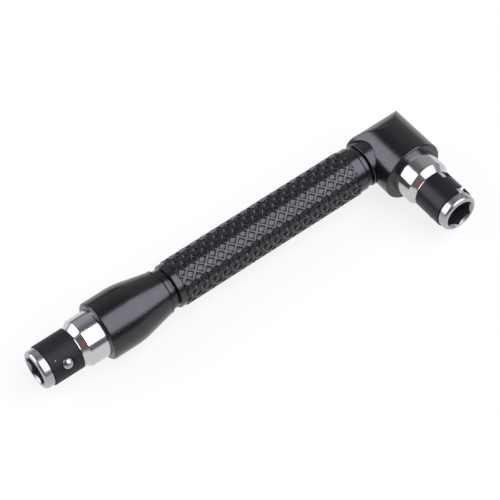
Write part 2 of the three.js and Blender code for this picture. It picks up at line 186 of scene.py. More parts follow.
def setFloor(values):
    sheet = bmesh.new()
    bmesh.ops.create_grid(sheet, x_segments=2, y_segments=2, size=values["floorSize"] / 2)
    mesh = bpy.data.meshes.new("studioFloor")
    sheet.to_mesh(mesh)
    sheet.free()
    floor = bpy.data.objects.new("studioFloor", mesh)
    scene.collection.objects.link(floor)
    paper = bpy.data.materials.new("palePaper")
    paper.use_nodes = True
    nodes, links = paper.node_tree.nodes, paper.node_tree.links
    nodes.clear()
    out = nodes.new("ShaderNodeOutputMaterial")
    matte = nodes.new("ShaderNodeBsdfDiffuse")
    matte.inputs["Color"].default_value = (values["floorColour"],) * 3 + (1,)
    glow = nodes.new("ShaderNodeEmission")
    glow.inputs["Strength"].default_value = 1.0
    # the paper gets darker in front of the tool, outside the picture
    place = nodes.new("ShaderNodeTexCoord")
    reach = nodes.new("ShaderNodeVectorMath")
    reach.operation = "DOT_PRODUCT"
    reach.inputs[1].default_value = values["frontWay"]
    links.new(place.outputs["Object"], reach.inputs[0])
    fade = nodes.new("ShaderNodeMapRange")
    fade.interpolation_type = "SMOOTHSTEP"
    fade.inputs["From Min"].default_value, fade.inputs["From Max"].default_value = values["farFade"]
    links.new(reach.outputs["Value"], fade.inputs["Value"])
    tone = nodes.new("ShaderNodeMix")
    tone.data_type = "RGBA"
    tone.inputs["A"].default_value = (1, 1, 1, 1)
    tone.inputs["B"].default_value = (values["farFloor"],) * 3 + (1,)
    links.new(fade.outputs[0], tone.inputs["Factor"])
    links.new(tone.outputs["Result"], glow.inputs["Color"])
    seen = nodes.new("ShaderNodeLightPath")
    either = nodes.new("ShaderNodeMath")
    either.operation = "MAXIMUM"
    direct = nodes.new("ShaderNodeMath")
    direct.operation = "MAXIMUM"
    share = nodes.new("ShaderNodeMath")
    share.operation = "MULTIPLY"
    share.inputs[1].default_value = values["floorGlow"]
    blend = nodes.new("ShaderNodeMixShader")
    links.new(seen.outputs["Is Camera Ray"], either.inputs[0])
    links.new(seen.outputs["Is Glossy Ray"], either.inputs[1])
    links.new(either.outputs[0], direct.inputs[0])
    links.new(seen.outputs["Is Transmission Ray"], direct.inputs[1])
    links.new(direct.outputs[0], share.inputs[0])
    links.new(share.outputs[0], blend.inputs[0])
    links.new(matte.outputs[0], blend.inputs[1])
    links.new(glow.outputs[0], blend.inputs[2])
    links.new(blend.outputs[0], out.inputs["Surface"])
    mesh.materials.append(paper)


setCamera(photoCamera)
for boxName, boxValues in softboxes.items():
    hangSoftbox(boxName, boxValues)
setRoom(studio)
setFloor(studio)
scene.view_settings.view_transform = "Standard"
print("studio ready")


# shared surface effects, as node groups

def newGroup(name, inputs, outputs):
    group = bpy.data.node_groups.new(name, "ShaderNodeTree")
    for label, kind in inputs:
        group.interface.new_socket(name=label, in_out="INPUT", socket_type=kind)
    for label, kind in outputs:
        group.interface.new_socket(name=label, in_out="OUTPUT", socket_type=kind)
    start = group.nodes.new("NodeGroupInput")
    end = group.nodes.new("NodeGroupOutput")
    return group, start, end


def mapRange(nodes, links, source, low, high):
    span = nodes.new("ShaderNodeMapRange")
    span.inputs["To Min"].default_value = low
    span.inputs["To Max"].default_value = high
    links.new(source, span.inputs["Value"])
    return span


skinTexture = {
    "waveDetail": 2.0, "grainScale": 5200.0, "grainDetail": 3.0, "grainShare": 0.12, "mottleScale": 170.0,
    "mottleDetail": 4.0, "speckCells": 900.0, "speckPick": 0.955, "speckSize": 0.09,
}


def makePaintSkin():
    # slow waves of a sprayed coat, fine grain, and a few dust specks
    group, start, end = newGroup(
        "paintSkin",
        [("Wave Scale", "NodeSocketFloat"), ("Dust Amount", "NodeSocketFloat")],
        [("Height", "NodeSocketFloat"), ("Mottle", "NodeSocketFloat"), ("Dust", "NodeSocketFloat")],
    )
    nodes, links = group.nodes, group.links
    place = nodes.new("ShaderNodeTexCoord")
    wave = nodes.new("ShaderNodeTexNoise")
    wave.inputs["Detail"].default_value = skinTexture["waveDetail"]
    grain = nodes.new("ShaderNodeTexNoise")
    grain.inputs["Scale"].default_value = skinTexture["grainScale"]
    grain.inputs["Detail"].default_value = skinTexture["grainDetail"]
    cloud = nodes.new("ShaderNodeTexNoise")
    cloud.inputs["Scale"].default_value = skinTexture["mottleScale"]
    cloud.inputs["Detail"].default_value = skinTexture["mottleDetail"]
    speck = nodes.new("ShaderNodeTexVoronoi")
    speck.inputs["Scale"].default_value = skinTexture["speckCells"]
    for texture in (wave, grain, cloud, speck):
        links.new(place.outputs["Object"], texture.inputs["Vector"])
    links.new(start.outputs["Wave Scale"], wave.inputs["Scale"])
    grainShare = nodes.new("ShaderNodeMath")
    grainShare.operation = "MULTIPLY_ADD"
    grainShare.inputs[1].default_value = skinTexture["grainShare"]
    links.new(grain.outputs["Fac"], grainShare.inputs[0])
    links.new(wave.outputs["Fac"], grainShare.inputs[2])
    links.new(grainShare.outputs[0], end.inputs["Height"])
    links.new(cloud.outputs["Fac"], end.inputs["Mottle"])
    # only the cells whose random value is high carry a speck
    picked = nodes.new("ShaderNodeMath")
    picked.operation = "GREATER_THAN"
    picked.inputs[1].default_value = skinTexture["speckPick"]
    split = nodes.new("ShaderNodeSeparateColor")
    links.new(speck.outputs["Color"], split.inputs[0])
    links.new(split.outputs[0], picked.inputs[0])
    near = nodes.new("ShaderNodeMath")
    near.operation = "LESS_THAN"
    near.inputs[1].default_value = skinTexture["speckSize"]
    links.new(speck.outputs["Distance"], near.inputs[0])
    both = nodes.new("ShaderNodeMath")
    both.operation = "MULTIPLY"
    links.new(picked.outputs[0], both.inputs[0])
    links.new(near.outputs[0], both.inputs[1])
    dust = nodes.new("ShaderNodeMath")
    dust.operation = "MULTIPLY"
    links.new(both.outputs[0], dust.inputs[0])
    links.new(start.outputs["Dust Amount"], dust.inputs[1])
    links.new(dust.outputs[0], end.inputs["Dust"])
    return group


markTexture = {"markDetail": 2.0, "cloudScale": 380.0, "cloudDetail": 4.0}


def makeTurnedMarks():
    # fine tool marks that run round a turned piece, with slow cloudy change
    group, start, end = newGroup(
        "turnedMarks",
        [("Along", "NodeSocketVector"), ("Mark Scale", "NodeSocketFloat")],
        [("Marks", "NodeSocketFloat"), ("Cloud", "NodeSocketFloat")],
    )
    nodes, links = group.nodes, group.links
    place = nodes.new("ShaderNodeTexCoord")
    along = nodes.new("ShaderNodeVectorMath")
    along.operation = "DOT_PRODUCT"
    links.new(place.outputs["Object"], along.inputs[0])
    links.new(start.outputs["Along"], along.inputs[1])
    marks = nodes.new("ShaderNodeTexNoise")
    marks.noise_dimensions = "1D"
    marks.inputs["Detail"].default_value = markTexture["markDetail"]
    links.new(along.outputs["Value"], marks.inputs["W"])
    links.new(start.outputs["Mark Scale"], marks.inputs["Scale"])
    cloud = nodes.new("ShaderNodeTexNoise")
    cloud.inputs["Scale"].default_value = markTexture["cloudScale"]
    cloud.inputs["Detail"].default_value = markTexture["cloudDetail"]
    links.new(place.outputs["Object"], cloud.inputs["Vector"])
    links.new(marks.outputs["Fac"], end.inputs["Marks"])
    links.new(cloud.outputs["Fac"], end.inputs["Cloud"])
    return group


paintSkin = makePaintSkin()
turnedMarks = makeTurnedMarks()


# materials

def newMaterial(name):
    material = bpy.data.materials.new(name)
    material.use_nodes = True
    nodes, links = material.node_tree.nodes, material.node_tree.links
    return material, nodes, links, nodes["Principled BSDF"]


def placeGroup(nodes, group, values):
    spot = nodes.new("ShaderNodeGroup")
    spot.node_tree = group
    for label, value in values.items():
        spot.inputs[label].default_value = value
    return spot


def mixColour(nodes, links, mask, dark, light):
    mix = nodes.new("ShaderNodeMix")
    mix.data_type = "RGBA"
    mix.inputs["A"].default_value = (*dark, 1)
    mix.inputs["B"].default_value = (*light, 1)
    links.new(mask, mix.inputs["Factor"])
    return mix


def addBump(nodes, links, height, distance, shader):
    bump = nodes.new("ShaderNodeBump")
    bump.inputs["Distance"].default_value = distance
    bump.inputs["Strength"].default_value = 1.0
    links.new(height, bump.inputs["Height"])
    links.new(bump.outputs["Normal"], shader.inputs["Normal"])


dustColour = (0.3, 0.3, 0.31)
bareColour = (0.6, 0.58, 0.57)


def makeBlackPaint(name, values):
    material, nodes, links, shader = newMaterial(name)
    skin = placeGroup(nodes, paintSkin, {"Wave Scale": values["wave"], "Dust Amount": values["dust"]})
    coat = mixColour(nodes, links, skin.outputs["Mottle"], values["dark"], values["light"])
    dusty = nodes.new("ShaderNodeMix")
    dusty.data_type = "RGBA"
    dusty.inputs["B"].default_value = (*dustColour, 1)
    links.new(skin.outputs["Dust"], dusty.inputs["Factor"])
    links.new(coat.outputs["Result"], dusty.inputs["A"])
    links.new(dusty.outputs["Result"], shader.inputs["Base Color"])
    rough = mapRange(nodes, links, skin.outputs["Mottle"], *values["rough"])
    links.new(rough.outputs[0], shader.inputs["Roughness"])
    shader.inputs["Specular IOR Level"].default_value = values["sheen"]
    addBump(nodes, links, skin.outputs["Height"], values["relief"], shader)
    return material


def addNick(nodes, links, tone, nick):
    # one small bare spot on the straight sleeve, with a soft edge
    turn = math.radians(nick["turn"])
    away = Vector((0, -math.cos(turn), math.sin(turn))) * nick["radius"]
    spot = straightMouth + (alongHandle * nick["station"] + away) * mm
    place = nodes.new("ShaderNodeTexCoord")
    gap = nodes.new("ShaderNodeVectorMath")
    gap.operation = "DISTANCE"
    gap.inputs[1].default_value = spot
    links.new(place.outputs["Object"], gap.inputs[0])
    edge = nodes.new("ShaderNodeMapRange")
    edge.inputs["From Min"].default_value = nick["size"] * mm
    edge.inputs["From Max"].default_value = nick["core"] * mm
    links.new(gap.outputs["Value"], edge.inputs["Value"])
    bare = nodes.new("ShaderNodeMix")
    bare.data_type = "RGBA"
    bare.inputs["B"].default_value = (*bareColour, 1)
    links.new(edge.outputs[0], bare.inputs["Factor"])
    links.new(tone.outputs["Result"], bare.inputs["A"])
    return bare


def makeTurnedMetal(name, values):
    material, nodes, links, shader = newMaterial(name)
    marks = placeGroup(nodes, turnedMarks, {"Along": values["along"], "Mark Scale": values["scale"]})
    tone = mixColour(nodes, links, marks.outputs["Cloud"], values["dark"], values["light"])
    if "nick" in values:
        tone = addNick(nodes, links, tone, values["nick"])
    links.new(tone.outputs["Result"], shader.inputs["Base Color"])
    shader.inputs["Metallic"].default_value = values["metal"]
    shader.inputs["Specular IOR Level"].default_value = values["sheen"]
    rough = mapRange(nodes, links, marks.outputs["Cloud"], *values["rough"])
    links.new(rough.outputs[0], shader.inputs["Roughness"])
    addBump(nodes, links, marks.outputs["Marks"], values["relief"], shader)
    return material


glossPaint = {"wave": 420.0, "dust": 0.5, "dark": (0.0038, 0.0038, 0.0046), "light": (0.0058, 0.0058, 0.007),
              "rough": (0.19, 0.27), "sheen": 0.58, "relief": 0.000012}
# painted shade: the ferrule gets a darker copy of the same gloss paint, so that its lower side reads darker
ferruleShadedPaint = {**glossPaint, "dark": (0.0016, 0.0016, 0.002), "light": (0.003, 0.003, 0.0037)}
gripPaint = {"wave": 1300.0, "dust": 0.3, "dark": (0.0038, 0.0038, 0.0048), "light": (0.006, 0.006, 0.0073),
             "rough": (0.19, 0.27), "sheen": 0.62, "relief": 0.000008}
chromePlate = {"scale": 7000.0, "dark": (0.5, 0.495, 0.5), "light": (0.58, 0.575, 0.58), "metal": 1.0,
               "rough": (0.13, 0.19), "sheen": 0.5, "relief": 0.0000004}
boreSteel = {"scale": 4000.0, "dark": (0.26, 0.255, 0.26), "light": (0.36, 0.35, 0.36), "metal": 1.0,
             "rough": (0.3, 0.4), "sheen": 0.5, "relief": 0.000001}
lipPlate = {**chromePlate, "dark": (0.37, 0.365, 0.37), "light": (0.45, 0.44, 0.45), "rough": (0.24, 0.32)}
# painted light: the groove floor's steel is lighter than the chrome, so that the floor under the sleeve shows bright
grooveLitSteel = {**chromePlate, "dark": (0.62, 0.615, 0.62), "light": (0.7, 0.69, 0.7), "rough": (0.45, 0.55)}
blackSpring = {"scale": 5200.0, "dark": (0.0052, 0.005, 0.0056), "light": (0.0082, 0.0078, 0.0088), "metal": 0.0,
               "rough": (0.36, 0.43), "sheen": 0.28, "relief": 0.0000016}
dullSpring = {**blackSpring, "dark": (0.0062, 0.006, 0.0066), "light": (0.0092, 0.0088, 0.0097), "rough": (0.5, 0.58),
              "sheen": 0.27, "nick": {"station": 3.9, "turn": 52, "radius": 4.99, "size": 0.14, "core": 0.084}}
ballPolish = {"scale": 1500.0, "dark": (0.34, 0.335, 0.33), "light": (0.42, 0.415, 0.41), "metal": 1.0,
              "rough": (0.17, 0.24), "sheen": 0.5, "relief": 0.0000002}
plainBar = {"scale": 3500.0, "dark": (0.3, 0.3, 0.31), "light": (0.42, 0.42, 0.43), "metal": 1.0,
            "rough": (0.3, 0.42), "sheen": 0.5, "relief": 0.000003}

blackGloss = makeBlackPaint("blackGlossPaint", glossPaint)
# the ferrule's material is the darker copy of the gloss paint, which carries painted shade
ferruleShadedMaterial = makeBlackPaint("shadedFerruleCoat", ferruleShadedPaint)
blackGrip = makeBlackPaint("blackGripPaint", gripPaint)
# one set for each socket, in the order of socketZone; the groove's steel is made lighter than the chrome as painted
# light
socketFinishes = {"chrome": chromePlate, "bore": boreSteel, "lip": lipPlate, "groove": grooveLitSteel}
straightMetals = [makeTurnedMetal(finish + "Straight", {**values, "along": (1, 0, 0)})
                  for finish, values in socketFinishes.items()]
angledMetals = [makeTurnedMetal(finish + "Angled", {**values, "along": (0, 1, 0)})
                for finish, values in socketFinishes.items()]
springStraight = makeTurnedMetal("blackSpringStraight", {**dullSpring, "along": (1, 0, 0)})
springAngled = makeTurnedMetal("blackSpringAngled", {**blackSpring, "along": (0, 1, 0)})
ballSteel = makeTurnedMetal("ballSteel", {**ballPolish, "along": (0, 0, 1)})
barSteel = makeTurnedMetal("barSteel", {**plainBar, "along": (1, 0, 0)})
print("materials ready")


# modelling helpers

def placeAlong(origin, inward, side):
    flat = (side - side.dot(inward) * inward).normalized()
    turn = Matrix((flat, inward.cross(flat), inward)).transposed().to_4x4()
    return Matrix.Translation(origin) @ turn


def turnProfile(points, steps):
    # points are (radius, station), turned about Z
    shell = bmesh.new()
    line = [shell.verts.new((radius * mm, 0, station * mm)) for radius, station in points]
    edges = [shell.edges.new(pair) for pair in zip(line, line[1:])]
    bmesh.ops.spin(shell, geom=line + edges, axis=(0, 0, 1), cent=(0, 0, 0), steps=steps,
                   angle=2 * math.pi, use_merge=True, use_duplicate=False)
    bmesh.ops.remove_doubles(shell, verts=shell.verts, dist=1e-7)
    bmesh.ops.recalc_face_normals(shell, faces=shell.faces)
    return shell


def roundCorner(centreRadius, centreStation, size, fromAngle, toAngle, parts=6):
    # points of a round: angle 0 faces away from the axis, 90 faces along it
    points = []
    for i in range(parts + 1):
        angle = math.radians(fromAngle + (toAngle - fromAngle) * i / parts)
        points.append((centreRadius + size * math.cos(angle), centreStation + size * math.sin(angle)))
    return points


def roundProfile(points, size, parts=4, sharper=12, most=0.45):
    # swaps each sharp corner of a profile for a small curve, which takes at most this share of its two sides
    path = [Vector(point) for point in points]
    smooth = [path[0]]
    for before, corner, after in zip(path, path[1:], path[2:]):
        inward, onward = corner - before, after - corner
        if inward.angle(onward) < math.radians(sharper):
            smooth.append(corner)
            continue
        start = corner - inward.normalized() * min(size, inward.length * most)
        end = corner + onward.normalized() * min(size, onward.length * most)
        for i in range(parts + 1):
            t = i / parts
            smooth.append(start * (1 - t) ** 2 + corner * 2 * t * (1 - t) + end * t ** 2)
    smooth.append(path[-1])
    return [(point.x, point.y) for point in smooth]


def holdFlats(points, longer=6):
    # extra points close to both ends of each long stretch keep its shading straight
    path = [Vector(point) for point in points]
    held = [path[0]]
    for start, end in zip(path, path[1:]):
        way = end - start
        if way.length > longer * hold:
            held += [start + way.normalized() * hold, end - way.normalized() * hold]
        held.append(end)
    return [(point.x, point.y) for point in held]


def hexBar(acrossFlats, start, end):
    # flats face +X and -X
    bar = bmesh.new()
    ring = bmesh.ops.create_circle(bar, cap_ends=True, segments=6, radius=acrossFlats / 2 * hexCorner * mm)
    bmesh.ops.translate(bar, verts=ring["verts"], vec=(0, 0, start * mm))
    grown = bmesh.ops.extrude_face_region(bar, geom=list(bar.faces))
    top = [v for v in grown["geom"] if isinstance(v, bmesh.types.BMVert)]
    bmesh.ops.translate(bar, verts=top, vec=(0, 0, (end - start) * mm))
    bmesh.ops.recalc_face_normals(bar, faces=bar.faces)
    return bar


def roundBar(radius, start, end, steps=48):
    return turnProfile([(0, start), (radius, start), (radius, end), (0, end)], steps)


def layRadially(shell, station):
    # turns a cutter made along Z so that it points along +X at a station
    bmesh.ops.rotate(shell, verts=shell.verts, cent=(0, 0, 0), matrix=Matrix.Rotation(math.pi / 2, 3, "Y"))
    bmesh.ops.translate(shell, verts=shell.verts, vec=(0, 0, station * mm))
    return shell


def makeObject(shell, name, place=None):
    if place is not None:
        bmesh.ops.transform(shell, matrix=place, verts=shell.verts)
    mesh = bpy.data.meshes.new(name)
    shell.to_mesh(mesh)
    shell.free()
    piece = bpy.data.objects.new(name, mesh)
    scene.collection.objects.link(piece)
    return piece


def carve(piece, cutterShell, operation="DIFFERENCE", place=None):
    cutter = makeObject(cutterShell, "cutter", place)
    step = piece.modifiers.new("carve", "BOOLEAN")
    step.operation = operation
    step.solver = "EXACT"
    step.object = cutter
    depsgraph = bpy.context.evaluated_depsgraph_get()
    carved = bpy.data.meshes.new_from_object(piece.evaluated_get(depsgraph))
    piece.modifiers.clear()
    old = piece.data
    piece.data = carved
    carved.name = piece.name
    bpy.data.meshes.remove(old)
    spent = cutter.data
    bpy.data.objects.remove(cutter)
    bpy.data.meshes.remove(spent)


def movePiece(piece, place):
    piece.data.transform(place)
    piece.data.update()


def finishPiece(piece, material, node, body, smoothAngle):
    piece.data.materials.clear()
    piece.data.materials.append(material)
    for face in piece.data.polygons:
        face.use_smooth = True
    piece.data.set_sharp_from_angle(angle=math.radians(smoothAngle))
    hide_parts(node)
    if body:
        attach(piece, body)


# bit holder: chromed socket, split spring sleeve, detent ball

socket = {
    "hexFlats": 6.4, "hexDepth": 12.5, "flareRadius": 3.75, "lipRadius": 4.695, "lipRound": 0.75,
    "grooveStart": 2.2, "grooveRadius": 4.295, "taperStart": 9.95, "landRadius": 4.72, "landEnd": 10.2,
    "collarStart": 11.7, "collarRadius": 5.795, "collarEnd": 18.0, "shankFlats": 8.0, "shankEnd": 25.0, "edge": 0.09,
    "steps": 120, "boreSlack": 0.02, "endSlack": 0.1, "grooveSlack": 0.05,
}
sleeve = {
    "inner": 4.395, "outer": 4.995, "start": 2.3, "end": 9.85, "nearShoulder": 164, "farProngs": 203,
    "tongueTip": 209, "slotEnd": 243, "tongueFront": 3.95, "tongueBack": 7.9, "tipTaper": 0.45, "tipRound": 0.5,
    "sideGap": 0.25, "edge": 0.07, "steps": 360, "blendBack": 3.5, "blendOut": 4.2, "rowSlack": 0.01, "turnSlack": 0.5,
    # rows of points along the band, and their distances from the tongue's two sides
    "frontRows": (2.7, 3.2), "tongueRows": (4.45, 5.0, 5.5, 6.0, 6.5, 7.0, 7.4), "backRows": (8.9,),
    "sideRows": (0.12, 0.28),
}
# the ball, its hole in the socket with the seat that stops it, and its hole in the sleeve
ball = {
    "radius": 1.5, "centre": 4.15, "station": 6.15, "seat": 1.231, "seatStart": 1.6, "seatEnd": 3.2, "hole": 1.58,
    "holeStart": 3.675, "holeEnd": 5.4, "holeSteps": 40, "lip": 1.56, "lipStart": 3.2, "narrow": 1.48,
    "holeMouth": 1.56, "chamfer": 0.05, "spread": 0.8, "lipSteps": 64,
}


def socketZone(face):
    # 0 chrome, 1 inside of the bore, 2 lip, 3 floor of the groove
    s = socket
    radius, station = face.center.xy.length / mm, face.center.z / mm
    if radius < s["flareRadius"] - s["boreSlack"] and station < s["hexDepth"] + s["endSlack"]:
        return 1
    if station < s["grooveStart"]:
        return 2
    if radius < s["grooveRadius"] + s["grooveSlack"] and station < s["taperStart"]:
        return 3
    return 0


def buildSocket(name, place, metals, node):
    s, b = socket, ball
    profile = [
        (0, 0), *roundCorner(s["lipRadius"] - s["lipRound"], s["lipRound"], s["lipRound"], -90, 0, 8),
        (s["lipRadius"], s["grooveStart"]), (s["grooveRadius"], s["grooveStart"]),
        (s["grooveRadius"], s["taperStart"]), (s["landRadius"], s["taperStart"]), (s["landRadius"], s["landEnd"]),
        (s["collarRadius"], s["collarStart"]), (s["collarRadius"], s["collarEnd"]), (0, s["collarEnd"]),
    ]
    piece = makeObject(turnProfile(holdFlats(roundProfile(profile, s["edge"])), s["steps"]), name)
    carve(piece, hexBar(s["shankFlats"], s["collarEnd"] - past, s["shankEnd"]), "UNION")
    carve(piece, hexBar(s["hexFlats"], -past, s["hexDepth"]))
    carve(piece, turnProfile([(0, -past), (s["flareRadius"] + past, -past), (0, s["flareRadius"])], s["steps"]))
    hole = turnProfile([(0, b["seatStart"]), (b["seat"], b["seatStart"]), (b["seat"], b["seatEnd"]),
                        (b["hole"], b["holeStart"]), (b["hole"], b["holeEnd"]), (0, b["holeEnd"])], b["holeSteps"])
    carve(piece, layRadially(hole, b["station"]))
    zones = [socketZone(face) for face in piece.data.polygons]
    movePiece(piece, place)
    finishPiece(piece, metals[0], node, "driver", smoothAngle=28)
    for metal in metals[1:]:
        piece.data.materials.append(metal)
    for face, zone in zip(piece.data.polygons, zones):
        face.material_index = zone


def buildSleeve(name, place, material, node):
    s, b = sleeve, ball
    front, back = s["tongueFront"], s["tongueBack"]
    rows = [s["start"], *s["frontRows"], front - s["sideGap"], front, *(front + row for row in s["sideRows"]),
            *s["tongueRows"], *(back - row for row in reversed(s["sideRows"])), back, back + s["sideGap"],
            *s["backRows"], s["end"]]
    shell = turnProfile([(s["outer"], row) for row in rows], s["steps"])

    def angleOf(point):
        return math.degrees(math.atan2(point.y, point.x)) % 360

    def isCut(face):
        middle = face.calc_center_median()
        angle, row = angleOf(middle), middle.z / mm
        if front < row < back:
            return s["tongueTip"] < angle < s["slotEnd"]
        if front - s["sideGap"] < row < back + s["sideGap"]:
            return s["nearShoulder"] < angle < s["slotEnd"]
        return s["nearShoulder"] < angle < s["farProngs"]

    bmesh.ops.delete(shell, geom=[face for face in shell.faces if isCut(face)], context="FACES")
    # the tongue narrows and rounds off towards its tip
    middleRow, halfWidth = (front + back) / 2, (back - front) / 2
    reach = s["tongueTip"] - s["nearShoulder"]
    for v in shell.verts:
        angle, row = angleOf(v.co), v.co.z / mm
        inTongue = abs(row - middleRow) < halfWidth + s["rowSlack"]
        if not inTongue or not s["nearShoulder"] < angle - s["turnSlack"] < s["tongueTip"]:
            continue
        share = (angle - s["nearShoulder"]) / reach
        offset = row - middleRow
        corner = max(abs(offset) - (halfWidth - s["tipRound"]), 0) / s["tipRound"]
        cutBack = s["tipRound"] * (1 - math.sqrt(max(1 - corner * corner, 0)))
        turned = math.radians(s["nearShoulder"] + share * (reach - math.degrees(cutBack / s["outer"])))
        v.co = (s["outer"] * math.cos(turned) * mm, s["outer"] * math.sin(turned) * mm,
                (middleRow + offset * (1 - s["tipTaper"] * share / halfWidth)) * mm)
    bmesh.ops.recalc_face_normals(shell, faces=shell.faces)
    # the band is still an open sheet here, so its faces may point inward
    if sum(face.normal.xy.dot(face.calc_center_median().xy) for face in shell.faces) < 0:
        bmesh.ops.reverse_faces(shell, faces=shell.faces)
    piece = makeObject(shell, name)
    wall = piece.modifiers.new("wall", "SOLIDIFY")
    wall.thickness = (s["outer"] - s["inner"]) * mm
    wall.offset = -1
    thick = bpy.data.meshes.new_from_object(piece.evaluated_get(bpy.context.evaluated_depsgraph_get()))
    piece.modifiers.clear()
    piece.data = thick
    hole = turnProfile([(0, b["lipStart"]), (b["lip"], b["lipStart"]), (b["lip"], s["inner"]),
                        (b["narrow"], s["outer"] - b["chamfer"]), (b["holeMouth"], s["outer"]),
                        (b["holeMouth"] + b["spread"], s["outer"] + b["spread"]), (0, s["outer"] + b["spread"])],
                       b["lipSteps"])
    carve(piece, layRadially(hole, b["station"]))
    movePiece(piece, place)
    soft = piece.modifiers.new("softEdge", "BEVEL")
    soft.width = s["edge"] * mm
    soft.segments = 2
    soft.limit_method = "ANGLE"
    soft.angle_limit = math.radians(40)
    finishPiece(piece, material, node, None, smoothAngle=30)
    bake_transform(piece)


def buildBall(name, place, node, body):
    globe = bmesh.new()
    bmesh.ops.create_icosphere(globe, subdivisions=4, radius=ball["radius"] * mm)
    bmesh.ops.translate(globe, verts=globe.verts, vec=(ball["centre"] * mm, 0, ball["station"] * mm))
    finishPiece(makeObject(globe, name, place), ballSteel, node, body, smoothAngle=60)


def buildHolder(side, mouth, inward, metals, spring):
    body = side + "_ball"
    way = ballWay[body]
    place = placeAlong(mouth, inward, way)
    buildSocket(side + "Socket", place, metals, side + "_socket")
    buildSleeve(side + "SpringSleeve", place, spring, side + "_spring_sleeve")
    buildBall(side + "DetentBall", place, side + "_detent_ball", body)
    print(side, "bit holder built")


buildHolder("straight", straightMouth, alongHandle, straightMetals, springStraight)
buildHolder("angled", angledMouth, alongHead, angledMetals, springAngled)


# tapered ferrule

ferrule = {
    "start": 16.4, "radius": 7.225, "barrel": 8.2, "taper": 8.4, "rounding": 2.0, "roundParts": 12, "land": 0.72,
    "landRadius": 5.4235, "grooveOver": 0.1,
    "lineWidth": 0.28, "lineDepth": 0.45, "rimRadius": 4.9035, "rim": 1.2, "rimRound": 0.28, "groove": 4.4235,
    "gripStart": 35.82, "spigot": 3.9135, "spigotLength": 10.0, "seatRadius": 5.83, "seatEnd": 18.1, "faceRound": 0.62,
    "seatChamfer": 0.03, "shankFlats": 8.2, "shankEnd": 25.1, "screwHead": 2.8, "web": 27.9, "webEnd": 30.5,
    "screwHole": 1.6, "rodFlats": 4.7, "edge": 0.1, "steps": 128,
}


def buildFerrule():
    f = ferrule
    bend = f["start"] + f["barrel"]
    slope = (f["radius"] - f["landRadius"]) / f["taper"]
    curve = []
    for i in range(f["roundParts"] + 1):
        share = i / f["roundParts"]
        curve.append((f["radius"] - slope * f["rounding"] * share * share, bend + (share * 2 - 1) * f["rounding"]))
    landStart = bend + f["taper"]
    landEnd = landStart + f["land"]
    rimStart = landEnd + f["lineWidth"]
    rimEnd = rimStart + f["rim"]
    lineFloor = f["rimRadius"] - f["lineDepth"]
    grooveEnd = f["gripStart"] - f["grooveOver"]
    spigotEnd = f["gripStart"] + f["spigotLength"]
    profile = [
        (0, f["start"]),
        *roundCorner(f["radius"] - f["faceRound"], f["start"] + f["faceRound"], f["faceRound"], -90, 0),
        *curve, (f["landRadius"], landStart), (f["landRadius"], landEnd),
        (lineFloor, landEnd), (lineFloor, rimStart), (f["rimRadius"], rimStart),
        *roundCorner(f["rimRadius"] - f["rimRound"], rimEnd - f["rimRound"], f["rimRound"], 0, 90, 5),
        (f["groove"], rimEnd), (f["groove"], grooveEnd),
        (f["spigot"], grooveEnd), (f["spigot"], spigotEnd), (0, spigotEnd),
    ]
    piece = makeObject(turnProfile(holdFlats(roundProfile(profile, f["edge"])), f["steps"]), "noseFerrule")
    seat = turnProfile([
        (0, f["start"] - past), (f["seatRadius"] + f["seatChamfer"] + past, f["start"] - past),
        (f["seatRadius"], f["start"] + f["seatChamfer"]), (f["seatRadius"], f["seatEnd"]), (0, f["seatEnd"]),
    ], f["steps"])
    carve(piece, seat)
    carve(piece, hexBar(f["shankFlats"], f["seatEnd"] - lap, f["shankEnd"]))
    carve(piece, roundBar(f["screwHead"], f["shankEnd"] - lap, f["web"]))
    carve(piece, roundBar(f["screwHole"], f["web"] - lap, f["webEnd"] + lap))
    carve(piece, hexBar(f["rodFlats"], f["webEnd"], spigotEnd + past))
    movePiece(piece, placeAlong(straightMouth, alongHandle, ballWay["straight_ball"]))
    finishPiece(piece, ferruleShadedMaterial, "nose_ferrule", "driver", smoothAngle=28)
    print("ferrule built")


buildFerrule()


# knurled grip

grip = {
    "start": 35.82, "end": 90.42, "band": 5.4235, "rib": 5.6635, "around": 13, "pitch": 2.836, "lead": 0.3,
    "turn": -7.0, "frontBand": 1.75, "length": 49.15, "bore": 4.0135, "boreDepth": 10.1, "rodFlats": 4.7,
    "rimLength": 1.05, "rimStep": 0.32, "lineWidth": 0.3, "lineDepth": 0.45, "lineRound": 0.03, "endEdge": 0.2,
    "endCut": 0.3,
    # the line in front of the knurl: depths below the band, and distances ahead of the knurl
    "border": ((0.14, 0.02), (0.14, 0.1), (0.02, 0.14), (0.0, 0.17), (0.0, 0.21)), "rearRamp": 0.12,
    # where the points of a pocket's rings lie in each quarter, and each ring's size, roundness, depth and bluntness:
    # the two tips round the handle end in short ramps, which catch the light
    "ringTurns": (0, 16, 74), "inset": 0.02, "tipSpan": 0.05,
    "pocketRings": ((0.815, 1.03, 0.0, 1.0), (0.755, 1.05, -0.05, 1.0), (0.645, 1.09, -0.28, 0.79),
                    (0.57, 1.16, -0.35, 0.85), (0.46, 1.22, -0.37, 0.92)),
}


